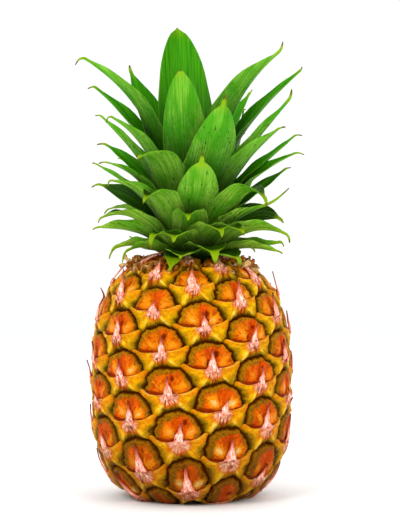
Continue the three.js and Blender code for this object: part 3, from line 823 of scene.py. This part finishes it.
def dimple(eye, across, up, lean):
    """The dark pit near a papery tip, deeper on some eyes, and on some a cut beside the tip."""
    side = 1.6 + 1.4 * eye.draw(10)
    rise = (8.6 + 1.8 * eye.draw(11)) * eye.size
    pit = bell(np.hypot((across - side) * 1.3, up - rise), 0, 2.2 + 0.6 * eye.draw(12))
    pit = pit * (0.3 + 0.7 * float(smooth(eye.draw(29), -0.5, 0.4)))
    if eye.draw(27) <= -0.1:
        return pit
    hand = math.copysign(1, eye.draw(28))
    bend = TIP_SIDE + hand * (2.6 - 0.1 * (up - 3) ** 2) + lean
    return np.maximum(pit, bell(across, bend, 0.75) * hump(up, 0, 2, 5, 8))


def painted_lobe_highlight(across, up, hand):
    """How much painted highlight a side sepal's dome gets, longest along its ray from the eye's tip."""
    ray = (hand * across + 0.75 * up) * 0.8
    aside = (up - 0.75 * hand * across) * 0.8
    return bell(ray, 0, 4.4) * bell(aside, 0, 2.6)


def lip_height(across):
    """About how high a bract's lip runs over its eye, in millimetres up."""
    shift = (across - LIP_CENTRE[0]) / 15
    return LIP_CENTRE[1] + 2.2 * np.abs(shift) ** 1.8


def add_bract(patches, eye):
    border = lower_border(eye.index)
    grid = eye.fan(border, LIP_CENTRE)
    rise = RHO ** 4 * (1 - RHO ** 16) - 0.12 * np.sin(RHO * math.pi)
    rise = rise * (1 + 0.5 * smooth(-eye.length, -30, 50) + 0.15 * eye.draw(18))
    grid[..., 1] += LEFT_WING_RISE * rise * np.exp(-ANGLE / WING_SPAN)
    grid[..., 1] += RIGHT_WING_RISE * rise * np.exp(-(1 - ANGLE) / WING_SPAN)
    across, up = eye.flat(grid)
    rim = eye.rim_distance(grid, border)
    ridge = sum(bell(ANGLE, place, 0.055) for place in RIDGE_PLACES)
    wrinkles = np.sin(ANGLE * 60 + 3 * np.sin(across * 0.4) + 9 * eye.draw(2))
    height = np.interp(rim, *BRACT_PUFF) + RIDGE_HEIGHT * ridge * hump(RHO, 0.1, 0.3, 0.65, 0.95)
    height = height + WRINKLE_HEIGHT * wrinkles * hump(RHO, 0.15, 0.35, 0.7, 0.9)
    height = height + 0.5 * bell(across, 0, 2.6) * (1 - smooth(RHO, 0.2, 0.8))
    height = height + BRACT_LUMPS * ripple(across, up, eye, 9)
    arm = sum(bell((ANGLE - place) * 42 * RHO, 0, 2 + 1.2 * (1 - RHO)) for place in ARM_PLACES)
    near = np.hypot((across - TIP_SIDE) * 0.85, up + 1.2)
    values = {
        "rim": rim,
        "near": near,
        "below": -up,
        "aside": np.abs(across - TIP_SIDE),
        "arm": arm * (1 - smooth(RHO, 0.8, 1.05)),
        "local": eye.apart(across, up, 50),
        "radial": eye.apart(ANGLE * 22, near * 0.15, 40),
    }
    patches.add_grid(eye.place(grid, height), values)
    add_lip(patches, eye, grid, height, values)


def add_lip(patches, eye, grid, height, values):
    """The bract's upper edge, a wall from its lip down onto the sepals."""
    def edge(value):
        return np.concatenate([value[::-1, 0], value[1:, -1]])

    line = edge(grid)
    top = edge(height)
    wall = np.stack([eye.place(line, top - LIP_DROP), eye.place(line, top)])
    doubled = {name: np.stack([edge(value)] * 2) for name, value in values.items()}
    patches.add_grid(wall, doubled)


def shown_eyes():
    for index in range(FIRST_EYE, LAST_EYE + 1):
        eye = Eye(index)
        if eye.radius > SMALLEST_EYE_RADIUS:
            yield eye


def add_fruit():
    sepals = Patches()
    bracts = Patches()
    for eye in shown_eyes():
        add_sepals(sepals, eye)
        add_bract(bracts, eye)
    sepals.piece("sepals", sepal_look(), "rind", ["fruit"])
    bracts.piece("bracts", bract_look(), "rind")
    add_flesh()
    add_tips()


def add_flesh():
    """The dark skin in the seams, closed under the eyes."""
    lengths = np.linspace(OUTLINE[0][0], OUTLINE[0][-1], 110)
    azimuths = np.linspace(0, 360, 145)[:-1]
    length, azimuth = np.meshgrid(lengths, azimuths, indexing="ij")
    flesh = Patches()
    flesh.add_grid(on_fruit(azimuth, length, SEAM_DEPTH), {}, closed=True)
    flesh.piece("seams", seam_look(), "rind")


TIP_ROWS = np.linspace(0, 1, 15)
TIP_COLUMNS = np.linspace(-1, 1, 9)
PAPER_THICKNESS = 0.25
LOWEST_TIPPED_Z = 2
TIP_ROOT = -1.9
TIP_LENGTH = 13.5
TIP_WIDTH = 7.4
TIP_LIFT = 0.9
# Near this length along the outline the tips stand well off the shoulder.
LIFTED_LENGTH = 50
LIFTED_BY = 4.5
SHORT_TIP = 0.6
# The small shreds to each side of a tip's root.
SHRED_SIDE = 1.9
SHRED_ROOT = -2.4
SHRED_LENGTH = 3.6
SHRED_WIDTH = 2.2
SHRED_LIFT = 0.1


def add_tip(patches, eye, kind, base, reach, width, lift, lean):
    """A papery blade over an eye, from its place on the bract: (across, up) in millimetres."""
    t = TIP_ROWS[:, None]
    u = TIP_COLUMNS[None]
    ragged = 1 + 0.2 * np.sin(t * 13 + 5 * eye.draw(kind)) * (1 - t)
    half = (width * (1 - t) ** 0.95 * (0.9 + 0.25 * np.sin(t * 5.5)) * ragged + 0.5) / 2
    middle = base[0] + lean * t ** 1.3 + 1.8 * eye.draw(kind + 6) * smooth(t, 0.55, 1.1)
    middle = middle + 0.6 * np.sin(t * 5 + 6 * eye.draw(kind + 1)) * t
    across = middle + u * half * (1 + 0.15 * np.sin(t * 21 + u * 3))
    frayed = 0.5 * np.sin(u * 9 + 5 * eye.draw(kind + 3)) * (1 - t) ** 2
    up = base[1] + reach * t - 0.5 * np.abs(u) * half + frayed
    height = 2 + 0.6 * float(smooth(eye.length, -45, 0))
    height = height + 0.7 * (1 - u * u) * (1 - t * 0.5) + lift * t ** 1.8
    height = height + 0.35 * np.sin(u * 6 + t * 6 + 6 * eye.draw(kind + 2)) * (1 - t * 0.6)
    height = height - 1.3 * (1 - smooth(t, 0, 0.25)) + 1.3 * eye.draw(kind + 5) * smooth(t, 0.6, 1.1)
    grid = np.stack([np.degrees(across / eye.radius), up], axis=-1)
    ring = around(eye.place(grid, height), eye.place(grid, height - PAPER_THICKNESS))
    shape = ring.shape[:2]
    local = eye.apart(around(across, across), around(up, up), 50)
    local[..., 2] += kind * 7
    values = {
        "local": local,
        "along": np.broadcast_to(t, shape),
        "across": np.broadcast_to(around(u, u), shape),
        "chance": chances(shape, eye.draw(kind + 4)),
    }
    patches.add_grid(ring, values, closed=True)


def add_tips():
    tips = Patches()
    for eye in shown_eyes():
        if outline_at(eye.length)[1] < LOWEST_TIPPED_Z:
            continue
        top = float(smooth(eye.length, 50, 72))
        reach = (TIP_LENGTH + 2.5 * eye.draw(20)) * eye.size + 8 * top
        if eye.draw(26) > 0.6:
            reach = reach * SHORT_TIP
        width = TIP_WIDTH + 1.3 * eye.draw(21) - 1.2 * top
        lift = (TIP_LIFT + 1.1 * eye.draw(22)) * (0.4 + 0.6 * float(smooth(eye.length, -45, 0)))
        lift = lift + LIFTED_BY * float(bell(eye.length, LIFTED_LENGTH, 9))
        root = (TIP_SIDE + 0.6 * eye.draw(19), TIP_ROOT)
        add_tip(tips, eye, 24, root, reach, width, lift, 2.6 * eye.draw(23))
        for kind, hand in ((40, -1), (50, 1)):
            root = (SHRED_SIDE * hand + 0.8 * eye.draw(kind), SHRED_ROOT + 0.8 * eye.draw(kind + 1))
            reach = SHRED_LENGTH + 1.2 * eye.draw(kind + 2)
            lean = hand * 0.6 + eye.draw(kind + 3)
            add_tip(tips, eye, kind + 4, root, reach, SHRED_WIDTH, SHRED_LIFT, lean)
    tips.piece("papery_tips", paper_look(), "rind")


# ---- the crown ----


def grown_leaf(azimuth, tip_radius, tip_z, width, tip_elevation, fullness, twist=0):
    level = max(0, (tip_z - LOWEST_TIP_Z) / (TALLEST_TIP_Z - LOWEST_TIP_Z))
    root_z = FRUIT_TOP_Z + ROOT_HEIGHT + ROOT_RISE * level ** 0.9
    return {
        "azimuth": azimuth, "width": width, "fullness": fullness, "twist": twist, "level": level,
        "root": (between(ROOT_RADII, level), root_z), "tip": (tip_radius, tip_z),
        "root_elevation": between(ROOT_ELEVATIONS, level ** 0.6), "tip_elevation": tip_elevation,
        "channel": between((FLAT_LEAF_CHANNEL, CHANNEL_DEPTH), min(level / CHANNELLED_LEVEL, 1)),
        "whip": SHORT_WHIP, "extra_age": 0,
    }


def all_leaves():
    leaves = [grown_leaf(*row) for row in GROWN_LEAVES]
    for number, whip in WHIPS.items():
        leaves[number]["whip"] = whip
    leaves[YELLOWED_LEAF]["extra_age"] = EXTRA_AGE
    for k in range(BACK_LEAVES):
        level = (k + 0.5) / BACK_LEAVES
        azimuth = between(BACK_AZIMUTHS, (k * GOLDEN) % 1)
        radius = 50 + 14 * math.sin(math.pi * level) + 3 * draw(k + 300)
        height = between(BACK_HEIGHTS, level) + 3 * draw(k + 400)
        leaf = grown_leaf(azimuth, radius, height, 17 + 8 * level, -30 + 90 * level, 2)
        leaf["whip"] = (4 + 2 * draw(k + 500), -60 + 110 * level, 2)
        leaves.append(leaf)
    for k in range(HEART_LEAVES):
        leaves.append(grown_leaf(60 + HEART_TURN * k, 13 + 5 * k, 232 - 8 * k, 15 + 2 * k, 80, 2))
    return leaves


LEAF_ROWS = np.concatenate([np.linspace(0, 0.88, 20), np.linspace(0.91, 1, 5)])
WHIP_ROWS = np.linspace(0.14, 1, 7)
LEAF_COLUMNS = np.array([-1, -0.93, -0.75, -0.5, -0.22, 0, 0.22, 0.5, 0.75, 0.93, 1])
MIDRIB_REACH = 0.4
LEAF_ROOT_WIDTH = 0.55
FULL_WIDTH_SPAN = (0.35, 0.4)
WHIP_POINT_WIDTH = 0.5
WHIP_SPAN = 0.1
MARGIN_WAVE = 0.5
LEAF_THICKNESS = (1.7, 0.7)
THINNEST_EDGE = 0.15


def midrib(leaf):
    """Radius and height along a leaf, a cubic curve in its own upright plane, and its whip."""
    start = np.array(leaf["root"], float)
    end = np.array(leaf["tip"], float)
    reach = np.linalg.norm(end - start) * MIDRIB_REACH
    first = math.radians(leaf["root_elevation"])
    last = math.radians(leaf["tip_elevation"])
    one = start + reach * np.array([math.cos(first), math.sin(first)])
    two = end - reach * np.array([math.cos(last), math.sin(last)])
    t = LEAF_ROWS[:, None]
    s = 1 - t
    blade = s ** 3 * start + 3 * s * s * t * one + 3 * s * t * t * two + t ** 3 * end
    length, whip_elevation, _ = leaf["whip"]
    bend = last + (math.radians(whip_elevation) - last) * smooth(WHIP_ROWS, -0.2, 0.9)
    step = length * np.diff(WHIP_ROWS, prepend=0)
    whip = end + np.cumsum(np.stack([np.cos(bend) * step, np.sin(bend) * step], axis=1), axis=0)
    return np.concatenate([blade, whip])


def leaf_width(leaf):
    t = LEAF_ROWS
    widest_from, widest_to = FULL_WIDTH_SPAN
    rise = np.sin(np.minimum(t / widest_from, 1) * math.pi / 2)
    rise = LEAF_ROOT_WIDTH + (1 - LEAF_ROOT_WIDTH) * rise
    past = np.maximum(t - widest_to, 0) / (1 - widest_to)
    fall = 1 - past ** leaf["fullness"]
    if leaf["fullness"] > 3:
        fall = (1 - past ** 2.4) ** 0.52
    end = leaf["whip"][2]
    blade = np.maximum(leaf["width"] * rise * fall, end)
    whip = WHIP_POINT_WIDTH + (end - WHIP_POINT_WIDTH) * (1 - WHIP_ROWS) ** 0.8
    return np.concatenate([blade, whip])


def add_leaf(patches, leaf, seed):
    t = np.concatenate([LEAF_ROWS, 1 + WHIP_SPAN * WHIP_ROWS])[:, None]
    u = LEAF_COLUMNS[None]
    line = midrib(leaf)
    slope = np.unwrap(np.arctan2(np.gradient(line[:, 1]), np.gradient(line[:, 0])))[:, None]
    half = (leaf_width(leaf) / 2)[:, None]
    wave = MARGIN_WAVE * np.sin(t * 23 + 8 * draw(seed)) * hump(t, 0.1, 0.4, 0.85, 1)
    wave = wave * np.abs(u) ** 3 * np.sign(u + draw(seed + 1) * 0.2)
    over = 2 * half * leaf["channel"] * np.abs(u) ** 1.7 + wave
    blade = np.minimum(t, 1)
    thickness = between(LEAF_THICKNESS, blade) * (1 - 0.75 * np.abs(u) ** 3) + THINNEST_EDGE
    thickness = np.minimum(thickness, 0.25 + half * 0.5)
    turn = math.radians(leaf["twist"]) * blade + 0.9 * draw(seed + 2) * smooth(t, 1, 1.1)
    across = u * half
    faces = []
    for lift in (over, over - thickness):
        side = across * np.cos(turn) - lift * np.sin(turn)
        rise = across * np.sin(turn) + lift * np.cos(turn)
        radius = line[:, :1] - rise * np.sin(slope)
        z = line[:, 1:] + rise * np.cos(slope)
        faces.append(from_axis(leaf["azimuth"], radius, side, z))
    upper, under = faces
    ring = around(upper[:, ::-1], under[:, ::-1])
    shape = ring.shape[:2]
    span = np.linalg.norm(np.array(leaf["tip"]) - np.array(leaf["root"])) * (1 + WHIP_SPAN)
    flat = around(across[:, ::-1], across[:, ::-1])
    age = float(np.clip(1.1 - 2 * leaf["level"], 0, 1)) + leaf["extra_age"]
    values = {
        "local": apart(flat, t * span, draw(seed + 5) * 60),
        "side": around(0 * across, 1 + 0 * across),
        "along": np.broadcast_to(t, shape),
        "across": np.broadcast_to(around(u[:, ::-1], u[:, ::-1]), shape),
        "age": np.full(shape, age),
        "chance": chances(shape, draw(seed + 6)),
    }
    patches.add_grid(ring, values, closed=True)


STEM_PROFILE = [(19, 0), (17.5, 10), (13, 22), (8, 32), (3, 38)]
STEM_GAP = 0.3


def add_crown():
    leaves = Patches()
    for seed, leaf in enumerate(all_leaves()):
        add_leaf(leaves, leaf, seed * 7 + 2000)
    look = leaf_look()
    leaves.piece("leaves", look, "leaf", ["crown"])
    add_stem(look)


def add_stem(look):
    foot = (0.5, STEM_PROFILE[0][1])
    point = (0.5, STEM_PROFILE[-1][1] + 1)
    profile = np.array([foot, *STEM_PROFILE, point])
    azimuths = np.linspace(90, 450, 49)[:-1][None]
    points = from_axis(azimuths, profile[:, :1], 0, profile[:, 1:] + FRUIT_TOP_Z + STEM_GAP)
    shape = points.shape[:2]
    values = {
        "local": points, "side": np.zeros(shape), "along": np.full(shape, 0.2),
        "across": np.zeros(shape), "age": np.ones(shape), "chance": np.zeros(shape),
    }
    stem = Patches()
    stem.add_grid(points, values, closed=True)
    stem.piece("stem", look, "leaf")


# ---- the collar and the stalk ----

# Rings of scales: radius, count and elevation. Toward the front they shorten and lie flatter.
COLLAR_RINGS = ((23, 20, 55), (26.5, 26, 42), (30, 34, 22))
FRONT_DIP = 22
FIBRES = 44
# Curled scales that hang over the shoulder, around these azimuths and this far to each side.
DRAPES = ((-44, 24), (50, 24))
DRAPED_SCALES = 26
SCALE_FOOT_Z = FRUIT_TOP_Z - 0.6
SCALE_THICKNESS = 0.35
SCALE_CURL = 115
SCALE_CLEARANCE = 1.2


def add_scale(patches, azimuth, root_radius, length, width, elevation, seed):
    """A withered bract: a crumpled scale that stands on the fruit's shoulder."""
    t = np.linspace(0, 1, 13)[:, None]
    u = np.linspace(-1, 1, 11)[None]
    angle = math.radians(elevation) + math.radians(SCALE_CURL * draw(seed + 1)) * (t - 0.3)
    step = length / 12
    out = root_radius + np.cumsum(np.cos(angle), axis=0) * step
    z = SCALE_FOOT_Z + np.cumsum(np.sin(angle), axis=0) * step
    half = width / 2 * (0.75 + 0.35 * np.sin(t * math.pi)) * (1 - t ** 3)
    half = half * (1 + 0.25 * np.sin(t * 13 + 6 * draw(seed + 2)))
    crumple = np.sin(u * 3.5 + t * 4 + 9 * draw(seed + 3)) * np.sin(t * 6 + 5 * draw(seed + 4))
    crumple = crumple + 0.5 * np.sin(u * 8 + t * 11 + 9 * draw(seed + 5)) * t
    lift = crumple + 2.2 * np.abs(u) ** 1.5 * (0.5 + 0.8 * draw(seed + 6))
    side = u * half + 1.2 * np.sin(t * 4 + 5 * draw(seed + 7))
    radius = out - lift * np.sin(angle)
    outline_r, outline_z = OUTLINE[1:3]
    shoulder = outline_z > BELLY_Z
    ground = np.interp(np.hypot(radius, side), outline_r[shoulder][::-1], outline_z[shoulder][::-1])
    z = np.maximum(z + lift * np.cos(angle), np.minimum(ground, FRUIT_TOP_Z) + SCALE_CLEARANCE)
    points = from_axis(azimuth, radius, side, z)
    ring = around(points, points + np.array([0, 0, -SCALE_THICKNESS]))
    shape = ring.shape[:2]
    flat = around(u * half, u * half)
    values = {
        "local": apart(flat, t * length, draw(seed) * 40),
        "chance": chances(shape, draw(seed + 8)),
        "along": np.broadcast_to(t, shape),
    }
    patches.add_grid(ring, values, closed=True)


def add_collar():
    collar = Patches()
    for ring, (radius, count, elevation) in enumerate(COLLAR_RINGS):
        for k in range(count):
            seed = 4000 + ring * 700 + k * 9
            azimuth = 360 * (k + 0.3 * draw(seed + 50)) / count
            low = float(bell(wrap(azimuth - FRONT_DIP), 0, 48))
            tilt = (elevation + 30 * draw(seed + 51)) * (1 - low) - 10 * low
            length = (8.5 + 3 * draw(seed + 52)) * (1 - 0.2 * low)
            width = 6.8 + 2.6 * draw(seed + 53)
            add_scale(collar, azimuth, radius + 1.5 * draw(seed + 54), length, width, tilt, seed)
    for k in range(FIBRES):
        seed = 7000 + k * 9
        azimuth = 360 * (k + 0.4 * draw(seed + 50)) / FIBRES
        radius = 32 + 3.5 * draw(seed + 51)
        length = 7.5 + 2.5 * draw(seed + 52)
        add_scale(collar, azimuth, radius, length, 1.3, 12 + 34 * draw(seed + 53), seed)
    for drape, (middle, span) in enumerate(DRAPES):
        for k in range(DRAPED_SCALES):
            seed = 9000 + drape * 900 + k * 9
            azimuth = middle + span * draw(seed + 50)
            radius = 30.5 + 4 * draw(seed + 51)
            length = 8 + 3 * draw(seed + 52)
            width = 2.8 + 1.5 * draw(seed + 54)
            add_scale(collar, azimuth, radius, length, width, -5 + 35 * draw(seed + 53), seed)
    collar.piece("collar_scales", dry_look(), "dry_bract", ["collar_bracts"])


STALK_EDGE = 0.6
FLOOR_SIDE = 6


def add_stalk():
    low, high = (corner.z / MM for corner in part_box("cut_stalk"))
    profile = np.array([(0.3, low), (6, low), (STALK_RADIUS - STALK_EDGE, low),
                        (STALK_RADIUS, low + STALK_EDGE), (STALK_RADIUS, high), (0.3, high)])
    turn = np.linspace(0, -360, 65)[:-1][None]
    radius = profile[:, :1] * (1 + 0.02 * np.sin(np.radians(9 * turn)))
    stalk = Patches()
    stalk.add_grid(from_axis(90 + turn, radius, 0, profile[:, 1:]), {}, closed=True)
    stalk.piece("stalk_end", stalk_look(), "cut_stalk", ["cut_stalk"])


def add_floor():
    mesh = bpy.data.meshes.new("floor")
    half = FLOOR_SIDE / 2
    corners = [(-half, -half, 0), (half, -half, 0), (half, half, 0), (-half, half, 0)]
    mesh.from_pydata(corners, [], [(0, 1, 2, 3)])
    mesh.materials.append(floor_look())
    floor = add_object("floor", mesh)


add_camera()
add_studio()
add_floor()
add_fruit()
add_crown()
add_collar()
add_stalk()
